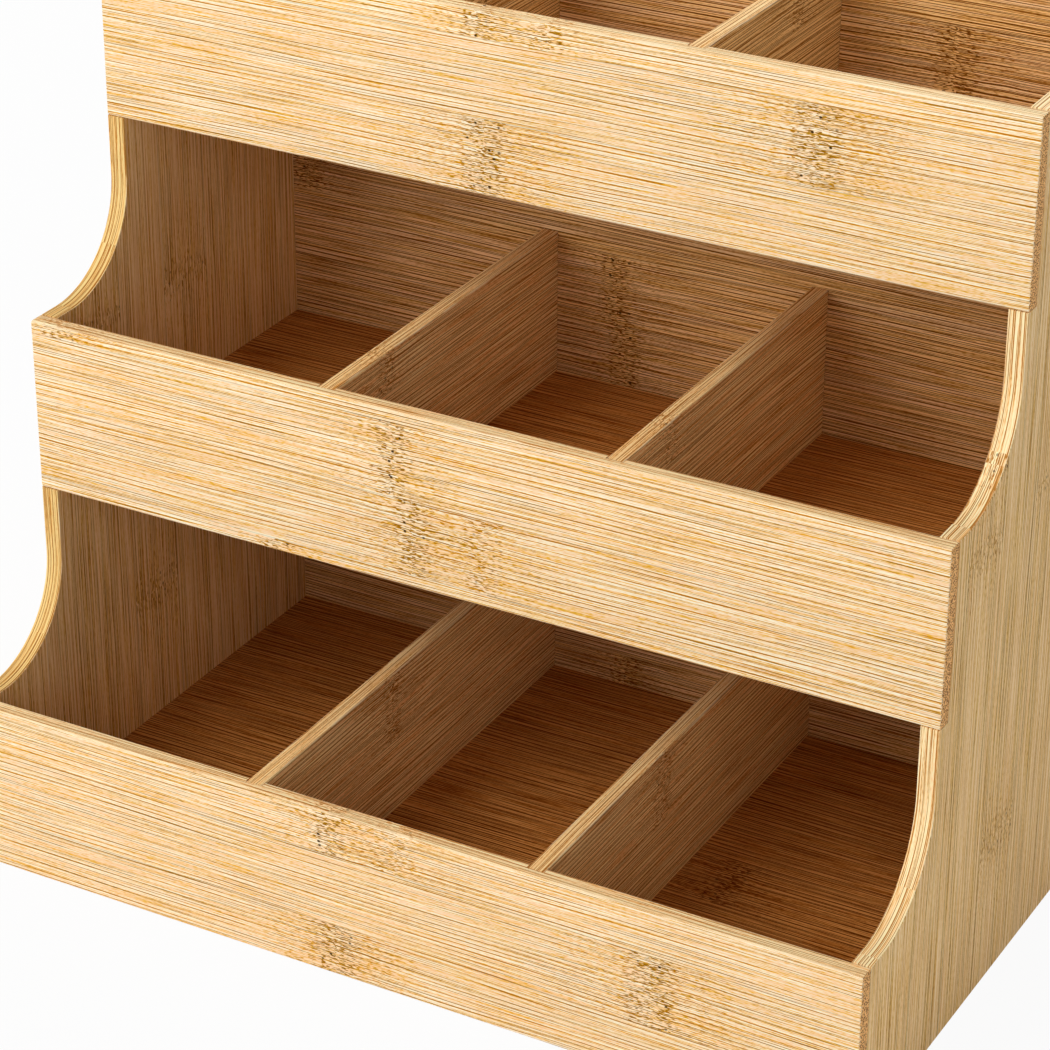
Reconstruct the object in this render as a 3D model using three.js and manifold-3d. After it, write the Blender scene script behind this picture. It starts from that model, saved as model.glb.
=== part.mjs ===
// Stepped bamboo tea bag organizer: two coved side panels carry three front boards, three floors
// and a back panel, and six dividers split each tier into compartments. All joints are glued housings.
// Millimetres, +Z up, front towards -Y, origin under the middle of the footprint.
import * as THREE from 'three';
import { mergeVertices } from 'three/addons/utils/BufferGeometryUtils.js';
import Module from 'manifold-3d';

const wasm = await Module();
wasm.setup();

// Overall form
const WIDTH = 300; // over the outer faces of the side panels
const DEPTH = 188.5; // from the lower front board's face to the rear of the back panel
const BOARD_HEIGHT = 56; // every front board
const LOWER_RISE = 110; // from the lower tier up to the middle tier
const UPPER_RISE = 107; // from the middle tier up to the upper tier
const SETBACK = 44.7; // each tier stands this far behind the one below
const DIVIDER_SPACING = 94.6; // between divider centres, which leaves the middle column a little narrower

// Thicknesses of the planed bamboo
const SIDE_THICK = 6;
const BOARD_THICK = 5.5;
const FLOOR_THICK = 5.5;
const DIVIDER_THICK = 5.5;
const BACK_THICK = 5.5;

// Joinery
const HOUSING_DEPTH = 2.5; // floors and dividers are let this far into their neighbours
const REBATE_DEPTH = 3; // the back panel is let this far into each side panel
const FLOOR_LIFT = 1.5; // a floor's underside above the lower edge of its front board
const GLUE_GAP = 0.1; // glue line between joined faces

// Curves and eased edges
const COVE_RADIUS = 32; // sweep from the upright edge down to the board below
const BOARD_ROUND = 0.8; // long edges of the front boards and the back panel
const DIVIDER_ROUND = 0.6; // upper edges of the dividers
const PANEL_EASE = 0.5; // sharp edges taken off the side panels and the board ends
const COVE_STEPS = 24;
const ROUND_STEPS = 4;
const EASE_STEPS = 2;

// Cutters start and end this far outside what they cut
const OVERCUT = 2;

// Places worked out from the sizes above
const OUTER_X = WIDTH / 2;
const INNER_X = OUTER_X - SIDE_THICK;
const BACK_FACE = DEPTH - BACK_THICK;
const TIERS = [
  { name: 'lower', base: 0 },
  { name: 'middle', base: LOWER_RISE },
  { name: 'upper', base: LOWER_RISE + UPPER_RISE },
].map(({ name, base }, step) => ({
  name,
  base,
  top: base + BOARD_HEIGHT,
  front: step * SETBACK,
  boardBack: step * SETBACK + BOARD_THICK,
  floorBottom: base + FLOOR_LIFT,
  floorTop: base + FLOOR_LIFT + FLOOR_THICK,
}));
const TOP_TIER = TIERS[TIERS.length - 1];
const DIVIDERS = [
  { side: 'left', x: -DIVIDER_SPACING / 2 },
  { side: 'right', x: DIVIDER_SPACING / 2 },
];

const AXIS_X = new THREE.Vector3(1, 0, 0);
const AXIS_Y = new THREE.Vector3(0, 1, 0);
const AXIS_Z = new THREE.Vector3(0, 0, 1);

// A closed geometry as a solid that can be cut
function toSolid(geometry) {
  geometry.deleteAttribute('normal');
  geometry.deleteAttribute('uv');
  const welded = mergeVertices(geometry);
  return new wasm.Manifold(new wasm.Mesh({
    numProp: 3,
    vertProperties: new Float32Array(welded.attributes.position.array),
    triVerts: new Uint32Array(welded.index.array),
  }));
}

function toGeometry(solid) {
  const { vertProperties, triVerts } = solid.getMesh();
  const geometry = new THREE.BufferGeometry();
  geometry.setAttribute('position', new THREE.BufferAttribute(vertProperties, 3));
  geometry.setIndex(new THREE.BufferAttribute(triVerts, 1));
  geometry.computeVertexNormals();
  return geometry;
}

// A block between two corners
function block([x0, y0, z0], [x1, y1, z1]) {
  const geometry = new THREE.BoxGeometry(x1 - x0, y1 - y0, z1 - z0);
  return toSolid(geometry.translate((x0 + x1) / 2, (y0 + y1) / 2, (z0 + z1) / 2));
}

// An outline swept over a length, with its two ends eased
function sweep(outline, length, ease) {
  return new THREE.ExtrudeGeometry(outline, {
    depth: length - 2 * ease,
    steps: 1,
    curveSegments: ROUND_STEPS,
    bevelEnabled: ease > 0,
    bevelThickness: ease,
    bevelSize: ease,
    bevelOffset: -ease,
    bevelSegments: EASE_STEPS,
  }).translate(0, 0, ease);
}

// An outline drawn in Y and Z, swept along X
function sweepAlongX(outline, x, length, ease) {
  const turn = new THREE.Matrix4().makeBasis(AXIS_Y, AXIS_Z, AXIS_X);
  return toSolid(sweep(outline, length, ease).applyMatrix4(turn).translate(x, 0, 0));
}

// An outline drawn in X and Z, swept along Y
function sweepAlongY(outline, y, length) {
  const turn = new THREE.Matrix4().makeBasis(AXIS_X.clone().negate(), AXIS_Z, AXIS_Y);
  return toSolid(sweep(outline, length, 0).applyMatrix4(turn).translate(0, y, 0));
}

// A plank's cross-section between two corners, its upper and lower edges rounded
function plankSection([u0, v0], [u1, v1], upperRound, lowerRound) {
  const section = new THREE.Shape();
  const right = Math.PI / 2;
  section.moveTo(u0 + lowerRound, v0);
  section.lineTo(u1 - lowerRound, v0);
  if (lowerRound > 0) section.absarc(u1 - lowerRound, v0 + lowerRound, lowerRound, -right, 0);
  section.lineTo(u1, v1 - upperRound);
  section.absarc(u1 - upperRound, v1 - upperRound, upperRound, 0, right);
  section.lineTo(u0 + upperRound, v1);
  section.absarc(u0 + upperRound, v1 - upperRound, upperRound, right, 2 * right);
  section.lineTo(u0, v0 + lowerRound);
  if (lowerRound > 0) section.absarc(u0 + lowerRound, v0 + lowerRound, lowerRound, 2 * right, 3 * right);
  return section;
}

// The side panel's outline before its notches: steps joined by coves, then a level top and upright back
function steppedOutline() {
  const points = [new THREE.Vector2(0, 0)];
  TIERS.forEach((tier, step) => {
    points.push(new THREE.Vector2(tier.front, tier.top));
    const above = TIERS[step + 1];
    if (!above) return;
    const radius = Math.min(COVE_RADIUS, above.front - tier.boardBack, above.base - tier.top);
    const cove = new THREE.Path();
    cove.absarc(above.front - radius, tier.top + radius, radius, -Math.PI / 2, 0);
    points.push(...cove.getPoints(COVE_STEPS));
  });
  points.push(new THREE.Vector2(DEPTH, TOP_TIER.top));
  points.push(new THREE.Vector2(DEPTH, 0));
  return new THREE.Shape(points);
}

// Notch in the panel's front edge that takes the end of a front board
function boardNotch(tier, x) {
  const floor = tier.base > 0 ? tier.base - GLUE_GAP : -OVERCUT;
  return block(
    [x - OVERCUT, tier.front - OVERCUT, floor],
    [x + SIDE_THICK + OVERCUT, tier.boardBack + GLUE_GAP, tier.top + OVERCUT],
  );
}

// Space around a floor, a glue line larger than the floor all round
function floorHousing(tier) {
  const half = INNER_X + HOUSING_DEPTH;
  return block(
    [-half, tier.boardBack - HOUSING_DEPTH, tier.floorBottom - GLUE_GAP],
    [half, BACK_FACE + HOUSING_DEPTH, tier.floorTop + GLUE_GAP],
  );
}

// Space around a divider, open at the top of its front board
function dividerHousing(tier, x) {
  const half = DIVIDER_THICK / 2 + GLUE_GAP;
  return block(
    [x - half, tier.boardBack - HOUSING_DEPTH, tier.floorTop],
    [x + half, BACK_FACE + HOUSING_DEPTH, tier.top + GLUE_GAP],
  );
}

// Rebates at the rear inner edges of both side panels, which take the back panel
function backRebate() {
  const half = INNER_X + REBATE_DEPTH;
  return block(
    [-half, BACK_FACE - GLUE_GAP, -OVERCUT],
    [half, DEPTH + OVERCUT, TOP_TIER.top + OVERCUT],
  );
}

function sidePanel(x) {
  let panel = sweepAlongX(steppedOutline(), x, SIDE_THICK, PANEL_EASE);
  for (const tier of TIERS) {
    panel = panel.subtract(boardNotch(tier, x)).subtract(floorHousing(tier));
  }
  return panel.subtract(backRebate());
}

function frontBoard(tier) {
  const section = plankSection([tier.front, tier.base], [tier.boardBack, tier.top], BOARD_ROUND, BOARD_ROUND);
  let board = sweepAlongX(section, -OUTER_X, WIDTH, PANEL_EASE).subtract(floorHousing(tier));
  for (const { x } of DIVIDERS) {
    board = board.subtract(dividerHousing(tier, x));
  }
  return board;
}

function floorPlate(tier) {
  const half = INNER_X + HOUSING_DEPTH - GLUE_GAP;
  const reach = HOUSING_DEPTH - GLUE_GAP;
  return block(
    [-half, tier.boardBack - reach, tier.floorBottom],
    [half, BACK_FACE + reach, tier.floorTop],
  );
}

function divider(tier, x) {
  const half = DIVIDER_THICK / 2;
  const reach = HOUSING_DEPTH - GLUE_GAP;
  const start = tier.boardBack - reach;
  const section = plankSection([-half, tier.floorTop + GLUE_GAP], [half, tier.top], DIVIDER_ROUND, 0);
  return sweepAlongY(section, start, BACK_FACE + reach - start).translate(x, 0, 0);
}

function backPanel() {
  const half = INNER_X + REBATE_DEPTH - GLUE_GAP;
  const section = plankSection([BACK_FACE, 0], [DEPTH, TOP_TIER.top], BOARD_ROUND, BOARD_ROUND);
  let panel = sweepAlongX(section, -half, 2 * half, 0);
  for (const tier of TIERS) {
    panel = panel.subtract(floorHousing(tier));
    for (const { x } of DIVIDERS) {
      panel = panel.subtract(dividerHousing(tier, x));
    }
  }
  return panel;
}

// Bamboo tones: pale front boards, plain panels, darker pieces inside
const BOARD_TONE = 0xefcf9f;
const PANEL_TONE = 0xdcb981;
const INNER_TONE = 0xc79f66;
const BAMBOO_ROUGHNESS = 0.55;

const organizer = new THREE.Group();
organizer.position.y = -DEPTH / 2;

function addPiece(name, solid, tone) {
  const material = new THREE.MeshStandardMaterial({ color: tone, roughness: BAMBOO_ROUGHNESS, metalness: 0 });
  const piece = new THREE.Mesh(toGeometry(solid), material);
  piece.name = name;
  organizer.add(piece);
}

addPiece('left_side_panel', sidePanel(-OUTER_X), PANEL_TONE);
addPiece('right_side_panel', sidePanel(INNER_X), PANEL_TONE);
addPiece('back_panel', backPanel(), INNER_TONE);
for (const tier of TIERS) {
  addPiece(`${tier.name}_front_board`, frontBoard(tier), BOARD_TONE);
  addPiece(`${tier.name}_floor`, floorPlate(tier), INNER_TONE);
  for (const { side, x } of DIVIDERS) {
    addPiece(`${tier.name}_${side}_divider`, divider(tier, x), INNER_TONE);
  }
}

export default organizer;
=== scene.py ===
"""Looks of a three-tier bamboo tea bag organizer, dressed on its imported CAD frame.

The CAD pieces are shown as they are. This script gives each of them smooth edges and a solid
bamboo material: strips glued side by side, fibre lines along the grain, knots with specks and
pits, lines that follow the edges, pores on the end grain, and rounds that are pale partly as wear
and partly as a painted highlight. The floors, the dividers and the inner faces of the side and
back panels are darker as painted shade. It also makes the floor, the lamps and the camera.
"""

import math
from collections import namedtuple

import bpy
from mathutils import Matrix, Vector

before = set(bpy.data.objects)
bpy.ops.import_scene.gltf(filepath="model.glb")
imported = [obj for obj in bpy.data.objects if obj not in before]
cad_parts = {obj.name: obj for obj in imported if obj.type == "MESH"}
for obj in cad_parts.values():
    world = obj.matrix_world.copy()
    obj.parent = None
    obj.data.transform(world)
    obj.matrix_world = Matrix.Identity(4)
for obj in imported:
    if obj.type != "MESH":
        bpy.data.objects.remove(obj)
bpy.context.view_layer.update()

MM_PER_M = 1000.0

# Camera: the viewing angle of the photograph, in metres and degrees.
CAMERA_AZIMUTH = 29.019
CAMERA_ELEVATION = 27.579
CAMERA_ROLL = 0.163
CAMERA_DISTANCE = 1.054791
CAMERA_TARGET = (0.000973, -0.01425, 0.119132)
CAMERA_LENS = 121.888
CAMERA_SENSOR = 36.0

# Light, as shares of the level at which a colour renders as it is written.
WORLD_FILL = 0.37
WHITE = (1.0, 1.0, 1.0, 1.0)
LAMP_AIM = (0.0, 0.0, 0.12)
LAMPS = {
    "key_lamp": {"azimuth": -42.0, "elevation": 31.0, "distance": 2.3, "size": 2.4, "share": 0.95},
    "fill_lamp": {"azimuth": 40.0, "elevation": 22.0, "distance": 2.3, "size": 1.5, "share": 0.10},
    "back_lamp": {"azimuth": 180.0, "elevation": 30.0, "distance": 2.3, "size": 1.5, "share": 0.42},
}

# Floor.
FLOOR_RADIUS = 30.0
FLOOR_SIDES = 64
FLOOR_DROP = 0.00005
FLOOR_COLOUR = (0.8, 0.8, 0.8, 1.0)
FLOOR_ROUGHNESS = 0.9
FLOOR_CAMERA_WHITE = 0.93

# Shading of the CAD meshes.
MERGE_DISTANCE = 1e-6
SHARP_ANGLE = math.radians(35.0)
NORMAL_WEIGHT = 100

# Bamboo sheet: strips and fibres, in millimetres. Colours are linear.
STRIP_WIDTH = 24.0
STRIP_SHIFT = 37.3
STRIP_MATCH = 0.5
STRIP_TONE = 0.06
HALF_STRIP = 0.5
SEAM_WIDTH = 0.012
SEAM_DEPTH = 0.3
SWAY_LENGTH = 90.0
SWAY_SPREAD = 16.0
SWAY_HEIGHT = 1.6

# Combs of fibre lines. period: spacing across the grain. width: a line's share of it. length:
# how far a line keeps its strength. low and high: the noise span over which a line appears.
# pull: how far a line moves the profile.
Comb = namedtuple("Comb", "period width length low high pull")
COARSE_COMB = Comb(1.5, 0.44, 50.0, 0.36, 0.58, 0.33)
FINE_COMB = Comb(0.75, 0.5, 34.0, 0.40, 0.62, 0.41)
COMBS = (COARSE_COMB, FINE_COMB)
COMB_JITTER_LENGTH = 110.0
COMB_JITTER_HEIGHT = 2.3
COMB_JITTER = 1.0
COMB_STEP = 7.31
CORE_SPAN = (1 / 2, 1 / 6)
FLANK_SPAN = (1.0, 1 / 2)
FLANK_SHARE = 0.8
LINE_CENTRE = 0.5
PLAIN_PROFILE = 0.49
THREAD_LENGTH = 30.0
THREAD_HEIGHT = 0.3
THREAD_PULL = 0.5
BAND_LENGTH = 130.0
BAND_HEIGHT = 1.8
BAND_DETAIL = 1.0
GRIT_LENGTH = 1.6
GRIT_HEIGHT = 0.25
GRIT_PULL = 0.17

# Colour along a line's profile, from its pale flank to its dark core, relative to the plain
# sheet. Where a finish has two sets, the broad bands turn from one to the other, and knots take
# the second.
GOLDEN_STOPS = (
    (0.33, (1.05, 1.53, 2.16)),
    (0.44, (1.03, 1.15, 1.37)),
    (0.53, (1.00, 1.00, 1.00)),
    (0.59, (0.95, 0.82, 0.16)),
    (0.67, (0.84, 0.61, 0.00)),
    (0.78, (0.54, 0.31, 0.00)),
)
OLIVE_STOPS = (
    (0.33, (1.04, 1.50, 2.20)),
    (0.44, (1.02, 1.15, 1.38)),
    (0.53, (0.98, 1.00, 1.03)),
    (0.59, (0.91, 0.84, 0.27)),
    (0.67, (0.72, 0.57, 0.05)),
    (0.78, (0.35, 0.23, 0.00)),
)
INSIDE_STOPS = (
    (0.33, (1.40, 1.65, 2.10)),
    (0.43, (1.13, 1.18, 1.32)),
    (0.50, (1.00, 1.00, 1.00)),
    (0.57, (0.82, 0.74, 0.58)),
    (0.66, (0.60, 0.46, 0.26)),
    (0.78, (0.40, 0.26, 0.10)),
)
DEEP_STOPS = (
    (0.33, (1.52, 1.95, 3.00)),
    (0.43, (1.20, 1.32, 1.62)),
    (0.50, (1.00, 1.00, 1.00)),
    (0.57, (0.78, 0.68, 0.46)),
    (0.66, (0.52, 0.36, 0.15)),
    (0.78, (0.32, 0.18, 0.04)),
)
DEEP_KNOT_STOPS = (
    (0.33, (1.55, 1.85, 2.20)),
    (0.43, (1.20, 1.28, 1.20)),
    (0.50, (1.00, 0.98, 0.72)),
    (0.57, (0.78, 0.66, 0.34)),
    (0.66, (0.50, 0.34, 0.11)),
    (0.78, (0.28, 0.15, 0.03)),
)
SIDE_STOPS = (
    (0.33, (1.16, 1.29, 1.66)),
    (0.43, (1.08, 1.12, 1.27)),
    (0.50, (1.01, 1.00, 1.00)),
    (0.57, (0.95, 0.89, 0.66)),
    (0.66, (0.88, 0.71, 0.36)),
    (0.78, (0.68, 0.45, 0.15)),
)
SIDE_KNOT_STOPS = (
    (0.33, (1.15, 1.29, 1.60)),
    (0.43, (1.07, 1.12, 1.24)),
    (0.50, (1.00, 1.00, 0.97)),
    (0.57, (0.93, 0.88, 0.60)),
    (0.66, (0.73, 0.58, 0.24)),
    (0.78, (0.42, 0.28, 0.07)),
)
FACE_RAMPS = (GOLDEN_STOPS, OLIVE_STOPS)
SIDE_RAMPS = (SIDE_STOPS, SIDE_KNOT_STOPS)
DEEP_RAMPS = (DEEP_STOPS,)
BACK_RAMPS = (DEEP_STOPS, DEEP_KNOT_STOPS)
INSIDE_RAMPS = (INSIDE_STOPS,)
HUE_SPAN = (0.35, 0.65)

# Knots: a band of specks and pits across one strip, with golden fibres behind it.
KNOT_EDGE_HEIGHT = 1.6
KNOT_EDGE_WANDER = 12.0
KNOT_EDGE_DETAIL = 2.0
KNOT_SOFTNESS = 0.45
KNOT_NEAR = 4.0
KNOT_SWIRL_LENGTH = 9.0
KNOT_SWIRL_SPREAD = 4.0
KNOT_SWIRL_HEIGHT = 0.7
KNOT_SHIFT = 11.7
KNOT_CALM = 0.1
SPECK_LOW = 0.55
SPECK_HIGH = 0.66
SPECK_PULL = 0.42
SPECK_FIELD = 0.28
SPECK_PLAIN = 0.1
TAIL_PULL = 0.03
PIT_SPACING = 2.6
PIT_STRETCH = 1.3
PIT_SPAN = (0.2, 0.1)
PIT_SHARE = 0.6
PIT_COLOUR = (0.06, 0.025, 0.004, 1.0)

# Edges: the lines follow the edge; end grain shows pores; rounds are pale, partly as wear and
# partly as a painted highlight.
FACE_TURN = (0.6, 0.8)
EDGE_LINES = 1.4
EDGE_STOPS = (
    (0.33, (1.09, 1.34, 1.65)),
    (0.45, (1.04, 1.08, 1.18)),
    (0.53, (1.01, 0.98, 0.96)),
    (0.61, (0.80, 0.60, 0.30)),
    (0.72, (0.50, 0.30, 0.10)),
)
PORE_SIZE = 0.48
PORE_DETAIL = 1.0
PORE_STOPS = (
    (0.42, (1.00, 0.90, 0.72)),
    (0.49, (0.87, 0.69, 0.45)),
    (0.54, (0.55, 0.38, 0.19)),
    (0.60, (0.19, 0.11, 0.045)),
)
# Pale rounds: partly wear, partly a painted highlight along the rounded edges.
WEAR_HIGHLIGHT_LENGTH = 9.0
WEAR_HIGHLIGHT_HEIGHT = 1.2
WEAR_HIGHLIGHT_SHARE = 0.5
WEAR_HIGHLIGHT_SPAN = (0.35, 0.65)
ROUND_FROM = (0.1, 0.4)
ROUND_TO = (0.99, 0.85)
WEAR_HIGHLIGHT_COLOUR = (1.0, 0.83, 0.56, 1.0)

# Surface.
ROUGHNESS_LOW = 0.46
ROUGHNESS_HIGH = 0.62
SPECULAR_LEVEL = 0.06
BUMP_DISTANCE = 0.00012
BUMP_STRENGTH = 0.2
PIT_DEPTH = 3.0

# How a piece is cut from the sheet. axes: the row axes along the grain, across it and through
# the thickness. origin: where a strip's edge lies across the grain. seed: moves the pattern.
# finish: see Finish. knots: see Knot.
Cut = namedtuple("Cut", "axes origin seed finish knots")
ROW_AXES = "xyz"

# How a kind of piece is finished. tone and edge: colour of the plain sheet on the broad faces and
# on the edges; on the inside pieces the tone is darkened as painted shade. lines: contrast of the
# fibre lines; below 0 their cores are pale. bands: contrast of the broad bands. grain: how coarse
# both are on the broad faces. ramps: their colours.
Finish = namedtuple("Finish", "tone edge lines bands grain ramps")

# A knot: its strip, its place along the grain, half its width and its strength.
Knot = namedtuple("Knot", "strip place half strength")

PALE_EDGE = (0.965, 0.65, 0.315)
GOLDEN_EDGE = (0.79, 0.485, 0.165)
FRONT_EDGE = (1.0, 0.65, 0.315)
DIVIDER_EDGE = (0.91, 0.55, 0.225)
FRONT = Finish((0.944, 0.596, 0.307), FRONT_EDGE, 0.92, 0.04, 1.0, FACE_RAMPS)
# Inner faces of the side panels: the bamboo sheet darkened as painted shade.
LEFT_INNER_PAINTED_SHADE = Finish((0.80, 0.531, 0.239), GOLDEN_EDGE, -1.4, 0.25, 1.2, SIDE_RAMPS)
RIGHT_INNER_PAINTED_SHADE = LEFT_INNER_PAINTED_SHADE._replace(edge=PALE_EDGE)
OUTER_SIDE = Finish((0.885, 0.592, 0.268), PALE_EDGE, -1.1, 0.3, 1.4, SIDE_RAMPS)
OUTER_BACK = Finish((0.90, 0.575, 0.28), PALE_EDGE, 0.9, 0.1, 1.0, FACE_RAMPS)
# Inner face of the back panel: the bamboo sheet darkened as painted shade.
BACK_PAINTED_SHADE = Finish((0.63, 0.33, 0.114), PALE_EDGE, 1.6, 0.12, 1.0, BACK_RAMPS)
# Floors: the bamboo sheet darkened to dark brown as painted shade; the upper floor's painted shade
# is lighter.
FLOOR = Finish((0.497, 0.181, 0.0315), PALE_EDGE, 1.7, 0.14, 1.35, DEEP_RAMPS)
UPPER_FLOOR_PAINTED_SHADE = FLOOR._replace(tone=(0.66, 0.335, 0.11))
# Dividers: the bamboo sheet darkened as painted shade, the upper ones the most.
DIVIDER_PAINTED_SHADE = Finish((0.845, 0.472, 0.19), DIVIDER_EDGE, 1.7, 0.12, 1.0, INSIDE_RAMPS)
UPPER_DIVIDER_PAINTED_SHADE = Finish((0.71, 0.415, 0.145), DIVIDER_EDGE, 1.7, 0.12, 1.0, INSIDE_RAMPS)

# An outer face: its finish, and the places through the thickness between which the finish of
# the inner face gives way to it. The inner faces carry painted shade; the outer faces keep the
# paler sheet.
Outer = namedtuple("Outer", "finish span")
SIDE_SPAN = (146.0, 148.0)
BACK_SPAN = (91.0, 92.0)
OUTERS = {
    "left_side_panel": Outer(OUTER_SIDE, SIDE_SPAN),
    "right_side_panel": Outer(OUTER_SIDE, SIDE_SPAN),
    "back_panel": Outer(OUTER_BACK, BACK_SPAN),
}

SHEET_KNOTS = (
    Knot(0, -18.0, 9.0, 1.0),
    Knot(1, 86.0, 10.0, 1.0),
    Knot(2, -20.0, 7.0, 1.0),
    Knot(2, 3.0, 8.0, 0.45),
)
MIDDLE_KNOTS = (
    Knot(0, -64.0, 6.0, 1.0),
    Knot(1, -17.0, 7.0, 1.0),
    Knot(1, 7.0, 8.0, 0.45),
    Knot(2, -23.0, 7.0, 1.0),
    Knot(3, -140.0, 8.0, 1.0),
)
LEFT_KNOTS = (Knot(2, 156.0, 4.0, 0.65), Knot(3, 52.0, 8.0, 0.65), Knot(4, 155.0, 7.0, 0.65))
RIGHT_KNOTS = (
    Knot(2, 153.0, 7.0, 0.7),
    Knot(2, 175.0, 4.0, 0.9),
    Knot(3, 49.0, 9.0, 0.7),
    Knot(4, 156.0, 4.0, 0.6),
)
BACK_KNOTS = (
    Knot(0, -17.0, 7.0, 1.0),
    Knot(5, -20.0, 7.0, 1.0),
    Knot(6, -23.0, 7.0, 1.0),
    Knot(7, -138.0, 7.0, 1.0),
    Knot(9, -14.0, 6.0, 0.8),
    Knot(10, 87.0, 9.0, 1.0),
)
LOWER_DIVIDER_KNOTS = (Knot(2, -17.0, 7.0, 1.0),)
MIDDLE_DIVIDER_KNOTS = (Knot(2, -17.0, 6.0, 0.8),)

CUTS = {
    "lower_front_board": Cut("xzy", -6.5, 1.0, FRONT, SHEET_KNOTS),
    "middle_front_board": Cut("xzy", 90.0, 2.0, FRONT, MIDDLE_KNOTS),
    "upper_front_board": Cut("xzy", 216.5, 3.0, FRONT, SHEET_KNOTS),
    "left_side_panel": Cut("zyx", -84.0, 4.0, LEFT_INNER_PAINTED_SHADE, LEFT_KNOTS),
    "right_side_panel": Cut("zyx", -84.0, 5.0, RIGHT_INNER_PAINTED_SHADE, RIGHT_KNOTS),
    "back_panel": Cut("xzy", -6.0, 6.0, BACK_PAINTED_SHADE, BACK_KNOTS),
    "lower_floor": Cut("xyz", -87.0, 7.0, FLOOR, (Knot(3, 66.0, 7.0, 0.8),)),
    "middle_floor": Cut("xyz", -87.0, 8.0, FLOOR, (Knot(5, -60.0, 7.0, 0.8),)),
    "upper_floor": Cut("xyz", -87.0, 9.0, UPPER_FLOOR_PAINTED_SHADE, (Knot(4, 90.0, 7.0, 0.8),)),
    "lower_left_divider": Cut("yzx", -16.0, 10.0, DIVIDER_PAINTED_SHADE, LOWER_DIVIDER_KNOTS),
    "lower_right_divider": Cut("yzx", -16.0, 11.0, DIVIDER_PAINTED_SHADE, LOWER_DIVIDER_KNOTS),
    "middle_left_divider": Cut("yzx", 105.0, 12.0, DIVIDER_PAINTED_SHADE, MIDDLE_DIVIDER_KNOTS),
    "middle_right_divider": Cut("yzx", 105.0, 13.0, DIVIDER_PAINTED_SHADE, MIDDLE_DIVIDER_KNOTS),
    "upper_left_divider": Cut("yzx", 212.0, 14.0, UPPER_DIVIDER_PAINTED_SHADE, (Knot(1, 40.0, 6.0, 0.8),)),
    "upper_right_divider": Cut("yzx", 212.0, 15.0, UPPER_DIVIDER_PAINTED_SHADE, (Knot(2, 60.0, 6.0, 0.8),)),
}

# Pieces whose edges show lines all round, and no end grain.
SIDE_PANELS = ("left_side_panel", "right_side_panel")
SEED_STEP = (17.13, 31.71, 7.37)

# Sockets of a Mix node in its colour mode.
MIX_INPUTS = (0, 6, 7)
MIX_RESULT = 2


class Graph:
    """Adds shader nodes to one node tree. A value is a socket or a constant."""

    def __init__(self, tree):
        self.nodes = tree.nodes
        self.links = tree.links

    def feed(self, socket, value):
        if isinstance(value, bpy.types.NodeSocket):
            self.links.new(value, socket)
        else:
            socket.default_value = value

    def add(self, kind, inputs=None, **settings):
        node = self.nodes.new("ShaderNode" + kind)
        for name, value in settings.items():
            setattr(node, name, value)
        for key, value in (inputs or {}).items():
            self.feed(node.inputs[key], value)
        return node

    def math(self, operation, *values):
        node = self.add("Math", operation=operation)
        for socket, value in zip(node.inputs, values):
            self.feed(socket, value)
        return node.outputs[0]

    def vector(self, x, y, z):
        return self.add("CombineXYZ", {"X": x, "Y": y, "Z": z}).outputs[0]

    def ease(self, value, low, high):
        """0 below low, 1 above high and smooth between; low may be the larger one."""
        inputs = {"Value": value, "From Min": low, "From Max": high}
        return self.add("MapRange", inputs, interpolation_type="SMOOTHSTEP").outputs[0]

    def scale(self, value, low, high):
        """A value from 0 to 1 taken to the span from low to high."""
        return self.add("MapRange", {"Value": value, "To Min": low, "To Max": high}).outputs[0]

    def mix(self, share, first, second, blend="MIX"):
        node = self.add("Mix", data_type="RGBA", blend_type=blend)
        for index, value in zip(MIX_INPUTS, (share, first, second)):
            self.feed(node.inputs[index], value)
        return node.outputs[MIX_RESULT]

    def ramp(self, value, stops):
        node = self.add("ValToRGB", {"Fac": value})
        elements = node.color_ramp.elements
        while len(elements) < len(stops):
            elements.new(1.0)
        for element, (place, colour) in zip(elements, stops):
            element.position = place
            element.color = colour
        return node.outputs[0]

    def noise(self, point, detail=0.0):
        return self.add("TexNoise", {"Vector": point, "Scale": 1.0, "Detail": detail}).outputs[0]


def grain_space(g, cut):
    """(along, across, through) in millimetres, and the size of the normal along each of them."""
    source = g.add("TexCoord")
    point = g.add("VectorMath", {0: source.outputs["Object"]}, operation="SCALE")
    g.feed(point.inputs["Scale"], MM_PER_M)
    facing = g.add("VectorMath", {0: source.outputs["Normal"]}, operation="ABSOLUTE")
    place = g.add("SeparateXYZ", {0: point.outputs[0]})
    turn = g.add("SeparateXYZ", {0: facing.outputs[0]})
    index = [ROW_AXES.index(axis) for axis in cut.axes]
    return [place.outputs[i] for i in index], [turn.outputs[i] for i in index]


def stretched(g, seed, along, across, through, length, height):
    """A noise point whose unit is length along the grain and height across it."""
    rows = zip((along, across, through), (length, height, height), SEED_STEP)
    return g.vector(*[g.math("MULTIPLY_ADD", v, 1.0 / unit, seed * step) for v, unit, step in rows])


def centred(g, value, span):
    """A noise value as a push of span either way about zero."""
    return g.math("MULTIPLY_ADD", value, span, -span / 2)


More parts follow.
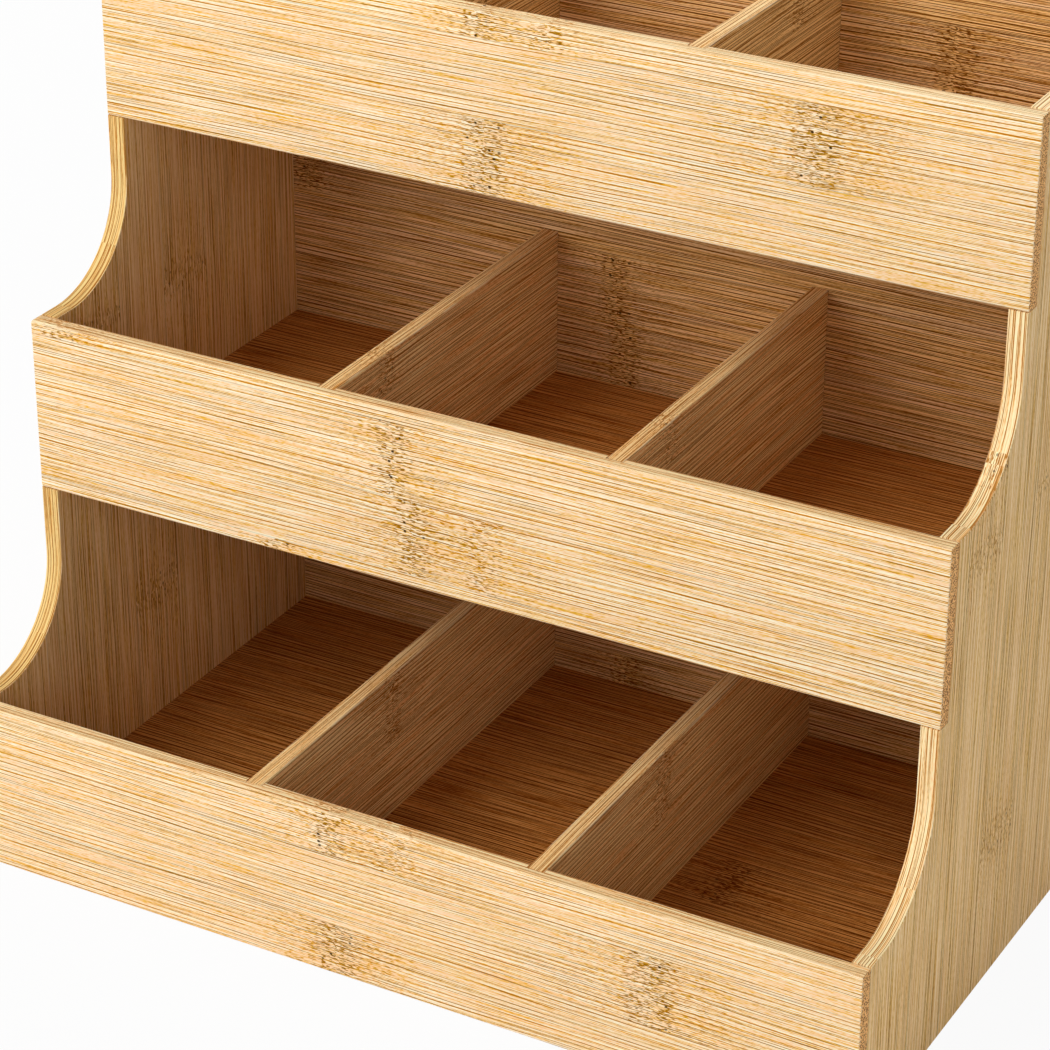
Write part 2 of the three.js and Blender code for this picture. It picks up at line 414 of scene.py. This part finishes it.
def knot_masks(g, along, across, strip, cut):
    """Masks of the knots' cores, of the fibres near them and of the tails behind, and the side."""
    edge = g.vector(g.math("DIVIDE", across, KNOT_EDGE_HEIGHT), cut.seed, strip)
    wander = centred(g, g.noise(edge, KNOT_EDGE_DETAIL), KNOT_EDGE_WANDER)
    wandered = g.math("ADD", along, wander)
    core = near = tail = side = 0.0
    for knot in cut.knots:
        here = g.math("COMPARE", strip, float(knot.strip), STRIP_MATCH)
        here = g.math("MULTIPLY", here, knot.strength)
        past = g.math("SUBTRACT", wandered, knot.place)
        reach = g.math("ABSOLUTE", past)
        behind = g.math("MULTIPLY", here, g.math("GREATER_THAN", past, 0.0))
        spot = g.ease(reach, knot.half, knot.half * KNOT_SOFTNESS)
        field = g.ease(reach, knot.half * KNOT_NEAR, knot.half)
        core = g.math("MULTIPLY_ADD", here, spot, core)
        near = g.math("MULTIPLY_ADD", here, field, near)
        tail = g.math("MULTIPLY_ADD", behind, field, tail)
        side = g.math("ADD", side, behind)
    return core, near, tail, side


def comb_lines(g, cut, comb, along, bent, through):
    """Thin lines along the grain with pale flanks: 1 in a strong line's core, below 0 beside it."""
    point = stretched(g, cut.seed, along, bent, through, COMB_JITTER_LENGTH, COMB_JITTER_HEIGHT)
    jitter = centred(g, g.noise(point), COMB_JITTER / comb.period)
    phase = g.math("MULTIPLY_ADD", bent, 1.0 / comb.period, jitter)
    number = g.math("MULTIPLY", g.math("FLOOR", phase), COMB_STEP)
    run = g.math("MULTIPLY_ADD", along, 1.0 / comb.length, number)
    chance = g.noise(g.vector(run, number, cut.seed))
    strength = g.ease(chance, comb.low, comb.high)
    offset = g.math("ABSOLUTE", g.math("SUBTRACT", g.math("FRACT", phase), LINE_CENTRE))
    core = g.ease(offset, *[share * comb.width for share in CORE_SPAN])
    flank = g.ease(offset, *[share * comb.width for share in FLANK_SPAN])
    peak = g.math("MULTIPLY", core, 1.0 + FLANK_SHARE)
    return g.math("MULTIPLY", g.math("MULTIPLY_ADD", flank, -FLANK_SHARE, peak), strength)


def bent_level(g, cut, along, across, through, strip, masks):
    """Place across the grain, with sway, a swirl at knots and a shift from strip to strip."""
    _, near, _, side = masks

    def push(length, spread, height):
        point = stretched(g, cut.seed, along, across, through, length, spread)
        return centred(g, g.noise(point), height)

    sway = push(SWAY_LENGTH, SWAY_SPREAD, SWAY_HEIGHT)
    swirl = push(KNOT_SWIRL_LENGTH, KNOT_SWIRL_SPREAD, KNOT_SWIRL_HEIGHT)
    bent = g.math("ADD", across, g.math("MULTIPLY_ADD", swirl, near, sway))
    bent = g.math("MULTIPLY_ADD", strip, STRIP_SHIFT, bent)
    return g.math("MULTIPLY_ADD", side, KNOT_SHIFT, bent)


def fibre_profile(g, cut, along, bent, through, masks, contrast, bands):
    """Place on a line's profile, from its pale flank to its dark core, and the broad bands."""
    core, near, tail, _ = masks

    def layer(length, height, detail=0.0):
        return g.noise(stretched(g, cut.seed, along, bent, through, length, height), detail)

    lines = 0.0
    for comb in COMBS:
        line = comb_lines(g, cut, comb, along, bent, through)
        lines = g.math("MULTIPLY_ADD", line, comb.pull, lines)
    lines = g.math("MULTIPLY", lines, g.math("MULTIPLY_ADD", core, -KNOT_CALM, 1.0))
    thread = centred(g, layer(THREAD_LENGTH, THREAD_HEIGHT), THREAD_PULL)
    profile = g.math("MULTIPLY_ADD", g.math("ADD", lines, thread), contrast, PLAIN_PROFILE)
    band = layer(BAND_LENGTH, BAND_HEIGHT, BAND_DETAIL)
    profile = g.math("MULTIPLY_ADD", centred(g, band, 1.0), bands, profile)
    grit = layer(GRIT_LENGTH, GRIT_HEIGHT)
    profile = g.math("ADD", profile, centred(g, grit, GRIT_PULL))
    speck = g.math("MULTIPLY", g.ease(grit, SPECK_LOW, SPECK_HIGH), SPECK_PULL)
    speckled = g.math("MULTIPLY_ADD", near, SPECK_FIELD, g.math("ADD", core, SPECK_PLAIN))
    profile = g.math("MULTIPLY_ADD", speck, speckled, profile)
    return g.math("MULTIPLY_ADD", tail, TAIL_PULL, profile), band


def pits(g, cut, places, core):
    """Small round holes in the knots."""
    point = stretched(g, cut.seed, *places, PIT_SPACING * PIT_STRETCH, PIT_SPACING)
    cell = g.add("TexVoronoi", {"Vector": point, "Scale": 1.0})
    chosen = g.add("SeparateColor", {0: cell.outputs["Color"]}).outputs[0]
    hole = g.ease(cell.outputs["Distance"], *PIT_SPAN)
    pit = g.math("MULTIPLY", g.math("LESS_THAN", chosen, PIT_SHARE), hole)
    return g.math("MULTIPLY", pit, core)


def tinted(stops, tone):
    """Ramp stops in the tone of a piece, none of them brighter than white, with full alpha."""

    def colour(shares):
        return [min(share * level, 1.0) for share, level in zip(shares, tone)] + [1.0]

    return [(place, colour(shares)) for place, shares in stops]


def face_colour(g, finish, profile, band, core):
    """Colour of the broad faces; knots take the second set of line colours where there is one."""
    colours = [g.ramp(profile, tinted(stops, finish.tone)) for stops in finish.ramps]
    if len(colours) == 1:
        return colours[0]
    hue = g.math("MAXIMUM", g.ease(band, *HUE_SPAN), core)
    return g.mix(hue, *colours)


def strip_level(g, cut, place, strip):
    """Brightness of a strip, with a thin dark seam at its border."""
    spot = g.vector(strip, cut.seed, 0.0)
    luck = g.add("TexWhiteNoise", {"Vector": spot}, noise_dimensions="3D").outputs["Value"]
    level = g.scale(luck, 1.0 - STRIP_TONE, 1.0)
    border = g.math("PINGPONG", place, HALF_STRIP)
    seam = g.ease(border, SEAM_WIDTH, 0.0)
    return g.math("MULTIPLY", level, g.math("MULTIPLY_ADD", seam, -SEAM_DEPTH, 1.0))


def shaded(g, colour, level):
    """A colour times a level."""
    grey = g.add("CombineColor", {"Red": level, "Green": level, "Blue": level}).outputs[0]
    return g.mix(1.0, colour, grey, "MULTIPLY")


def pore_colour(g, cut, places):
    """Colour of the end grain."""
    point = stretched(g, cut.seed, *places, PORE_SIZE, PORE_SIZE)
    return g.ramp(g.noise(point, PORE_DETAIL), tinted(PORE_STOPS, cut.finish.edge))


def worn_and_highlit(g, cut, places, facing, colour):
    """Paler colour along the rounded edges, broken up along the grain: partly wear, partly a
    painted highlight.
    """
    face = facing[2]
    rounded = g.math("MULTIPLY", g.ease(face, *ROUND_FROM), g.ease(face, *ROUND_TO))
    point = stretched(g, cut.seed, *places, WEAR_HIGHLIGHT_LENGTH, WEAR_HIGHLIGHT_HEIGHT)
    wear_highlight_breakup = g.ease(g.noise(point), *WEAR_HIGHLIGHT_SPAN)
    share = g.math("MULTIPLY", g.math("MULTIPLY", rounded, wear_highlight_breakup), WEAR_HIGHLIGHT_SHARE)
    return g.mix(share, colour, WEAR_HIGHLIGHT_COLOUR)


def line_settings(g, name, cut, through):
    """How far a point is towards the outer face, and the lines, bands and fineness there."""
    inner, outer = cut.finish, OUTERS.get(name, Outer(cut.finish, SIDE_SPAN))
    outside = g.ease(g.math("ABSOLUTE", through), *outer.span)
    lines = g.scale(outside, inner.lines, outer.finish.lines)
    bands = g.scale(outside, inner.bands, outer.finish.bands)
    fineness = g.scale(outside, 1.0 / inner.grain, 1.0 / outer.finish.grain)
    return outside, lines, bands, fineness


def line_places(g, face_share, across, through, fineness):
    """Place across the lines, which run over the sheet's face and along its edge, and depth."""
    rise = g.math("MULTIPLY_ADD", across, fineness, g.math("MULTIPLY", through, -1.0))
    level = g.math("MULTIPLY_ADD", face_share, rise, through)
    return level, g.math("MULTIPLY", face_share, through)


def sheet(g, name, cut):
    """Colour of a piece, the profile of its fibre lines and its pits."""
    places, facing = grain_space(g, cut)
    along, across, through = places
    end, _, face = facing
    place = g.math("DIVIDE", g.math("SUBTRACT", across, cut.origin), STRIP_WIDTH)
    strip = g.math("FLOOR", place)
    masks = knot_masks(g, along, across, strip, cut)
    core = masks[0]

    outside, lines, bands, fineness = line_settings(g, name, cut, through)
    face_share = g.ease(face, *FACE_TURN)
    contrast = g.scale(face_share, EDGE_LINES, lines)
    level, depth = line_places(g, face_share, across, through, fineness)
    bent = bent_level(g, cut, along, level, depth, strip, masks)
    profile, band = fibre_profile(g, cut, along, bent, depth, masks, contrast, bands)

    # The inside pieces and the inner faces carry painted shade in their tone; the outer faces keep
    # the paler sheet.
    colour = face_colour(g, cut.finish, profile, band, core)
    if name in OUTERS:
        outer_colour = face_colour(g, OUTERS[name].finish, profile, band, core)
        colour = g.mix(outside, colour, outer_colour)
    colour = shaded(g, colour, strip_level(g, cut, place, strip))
    colour = g.mix(face_share, g.ramp(profile, tinted(EDGE_STOPS, cut.finish.edge)), colour)
    if name not in SIDE_PANELS:
        colour = g.mix(g.ease(end, *FACE_TURN), colour, pore_colour(g, cut, places))
    pit = pits(g, cut, places, core)
    # Pits, and pale rounds that are partly wear and partly a painted highlight.
    return g.mix(pit, worn_and_highlit(g, cut, places, facing, colour), PIT_COLOUR), profile, pit


def bamboo(name, cut):
    """A solid bamboo material: the same sheet on faces, edges and end grain."""
    material = bpy.data.materials.new("bamboo_" + name)
    material.use_nodes = True
    material.node_tree.nodes.clear()
    g = Graph(material.node_tree)
    colour, profile, pit = sheet(g, name, cut)
    height = g.math("SUBTRACT", 1.0, g.math("MULTIPLY_ADD", pit, PIT_DEPTH, profile))
    bump = g.add("Bump", {"Height": height, "Strength": BUMP_STRENGTH, "Distance": BUMP_DISTANCE})
    finish = g.add("BsdfPrincipled", {
        "Base Color": colour,
        "Roughness": g.scale(profile, ROUGHNESS_LOW, ROUGHNESS_HIGH),
        "Specular IOR Level": SPECULAR_LEVEL,
        "Normal": bump.outputs[0],
    })
    g.add("OutputMaterial", {"Surface": finish.outputs[0]})
    return material


def smooth_shading():
    """A geometry node tree that joins the facets and keeps only true edges sharp."""
    tree = bpy.data.node_groups.new("smooth_shading", "GeometryNodeTree")
    tree.interface.new_socket("Geometry", in_out="INPUT", socket_type="NodeSocketGeometry")
    tree.interface.new_socket("Geometry", in_out="OUTPUT", socket_type="NodeSocketGeometry")
    nodes, links = tree.nodes, tree.links
    start, stop = nodes.new("NodeGroupInput"), nodes.new("NodeGroupOutput")
    drop = nodes.new("GeometryNodeRemoveAttribute")
    drop.inputs["Name"].default_value = "custom_normal"
    merge = nodes.new("GeometryNodeMergeByDistance")
    merge.inputs["Distance"].default_value = MERGE_DISTANCE
    faces, edges = nodes.new("GeometryNodeSetShadeSmooth"), nodes.new("GeometryNodeSetShadeSmooth")
    edges.domain = "EDGE"
    angle, flat = nodes.new("GeometryNodeInputMeshEdgeAngle"), nodes.new("FunctionNodeCompare")
    flat.operation = "LESS_EQUAL"
    flat.inputs["B"].default_value = SHARP_ANGLE
    links.new(angle.outputs["Unsigned Angle"], flat.inputs["A"])
    links.new(flat.outputs["Result"], edges.inputs["Shade Smooth"])
    chain = [start, drop, merge, faces, edges, stop]
    for before, behind in zip(chain, chain[1:]):
        links.new(before.outputs["Geometry"], behind.inputs["Geometry"])
    return tree


def dress(piece, material, shading):
    """Gives a CAD piece its material and smooth shading."""
    piece.data.materials.clear()
    piece.data.materials.append(material)
    smooth = piece.modifiers.new("smooth_shading", "NODES")
    smooth.node_group = shading
    weigh = piece.modifiers.new("flat_faces_first", "WEIGHTED_NORMAL")
    weigh.weight = NORMAL_WEIGHT
    weigh.keep_sharp = True


def background_share(g):
    """1 for the rays that show the background, and 0 for those that light the object."""
    path = g.add("LightPath")
    seen = g.math("MAXIMUM", path.outputs["Is Camera Ray"], path.outputs["Is Glossy Ray"])
    return g.math("MAXIMUM", seen, path.outputs["Is Transmission Ray"])


def make_world():
    """A dim white world for the object, and a white one for the rays that show the background."""
    world = bpy.data.worlds.new("studio")
    bpy.context.scene.world = world
    world.use_nodes = True
    world.node_tree.nodes.clear()
    g = Graph(world.node_tree)
    fill = g.add("Background", {"Color": WHITE, "Strength": WORLD_FILL})
    white = g.add("Background", {"Color": WHITE, "Strength": 1.0})
    both = g.add("MixShader", {0: background_share(g), 1: fill.outputs[0], 2: white.outputs[0]})
    g.add("OutputWorld", {"Surface": both.outputs[0]})


def floor_material():
    """A pale floor that takes the shadow and shows as white."""
    material = bpy.data.materials.new("studio_floor")
    material.use_nodes = True
    material.node_tree.nodes.clear()
    g = Graph(material.node_tree)
    pale = g.add("BsdfDiffuse", {"Color": FLOOR_COLOUR, "Roughness": FLOOR_ROUGHNESS})
    white = g.add("Emission", {"Color": WHITE, "Strength": 1.0})
    share = g.math("MULTIPLY", background_share(g), FLOOR_CAMERA_WHITE)
    both = g.add("MixShader", {0: share, 1: pale.outputs[0], 2: white.outputs[0]})
    g.add("OutputMaterial", {"Surface": both.outputs[0]})
    return material


def make_floor():
    """A wide round floor just below the object."""
    mesh = bpy.data.meshes.new("studio_floor")
    angles = [math.tau * i / FLOOR_SIDES for i in range(FLOOR_SIDES)]
    ring = [(FLOOR_RADIUS * math.cos(a), FLOOR_RADIUS * math.sin(a), -FLOOR_DROP) for a in angles]
    mesh.from_pydata(ring, [], [tuple(range(FLOOR_SIDES))])
    mesh.materials.append(floor_material())
    floor = bpy.data.objects.new("studio_floor", mesh)
    bpy.context.scene.collection.objects.link(floor)


def view_direction(azimuth, elevation):
    a, e = math.radians(azimuth), math.radians(elevation)
    return Vector((math.sin(a) * math.cos(e), -math.cos(a) * math.cos(e), math.sin(e)))


def make_lamp(name, azimuth, elevation, distance, size, share):
    """A round area lamp that faces the object."""
    data = bpy.data.lights.new(name, "AREA")
    data.shape = "DISK"
    data.size = size
    data.energy = share * (math.pi * distance) ** 2
    lamp = bpy.data.objects.new(name, data)
    back = view_direction(azimuth, elevation)
    lamp.location = Vector(LAMP_AIM) + back * distance
    lamp.rotation_euler = back.to_track_quat("Z", "Y").to_euler()
    bpy.context.scene.collection.objects.link(lamp)


def make_camera():
    """The camera of the photograph."""
    data = bpy.data.cameras.new("photo_camera")
    data.sensor_width = CAMERA_SENSOR
    data.lens = CAMERA_LENS
    camera = bpy.data.objects.new("photo_camera", data)
    back = view_direction(CAMERA_AZIMUTH, CAMERA_ELEVATION)
    right = Vector((0.0, 0.0, 1.0)).cross(back).normalized()
    turn = Matrix((right, back.cross(right), back)).transposed().to_4x4()
    turn = turn @ Matrix.Rotation(math.radians(CAMERA_ROLL), 4, "Z")
    camera.matrix_world = Matrix.Translation(Vector(CAMERA_TARGET) + back * CAMERA_DISTANCE) @ turn
    bpy.context.scene.collection.objects.link(camera)
    bpy.context.scene.camera = camera


def main():
    shading = smooth_shading()
    for name, cut in CUTS.items():
        dress(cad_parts[name], bamboo(name, cut), shading)
    make_floor()
    make_world()
    for name, lamp in LAMPS.items():
        make_lamp(name, **lamp)
    make_camera()
    bpy.context.scene.view_settings.view_transform = "Standard"


main()
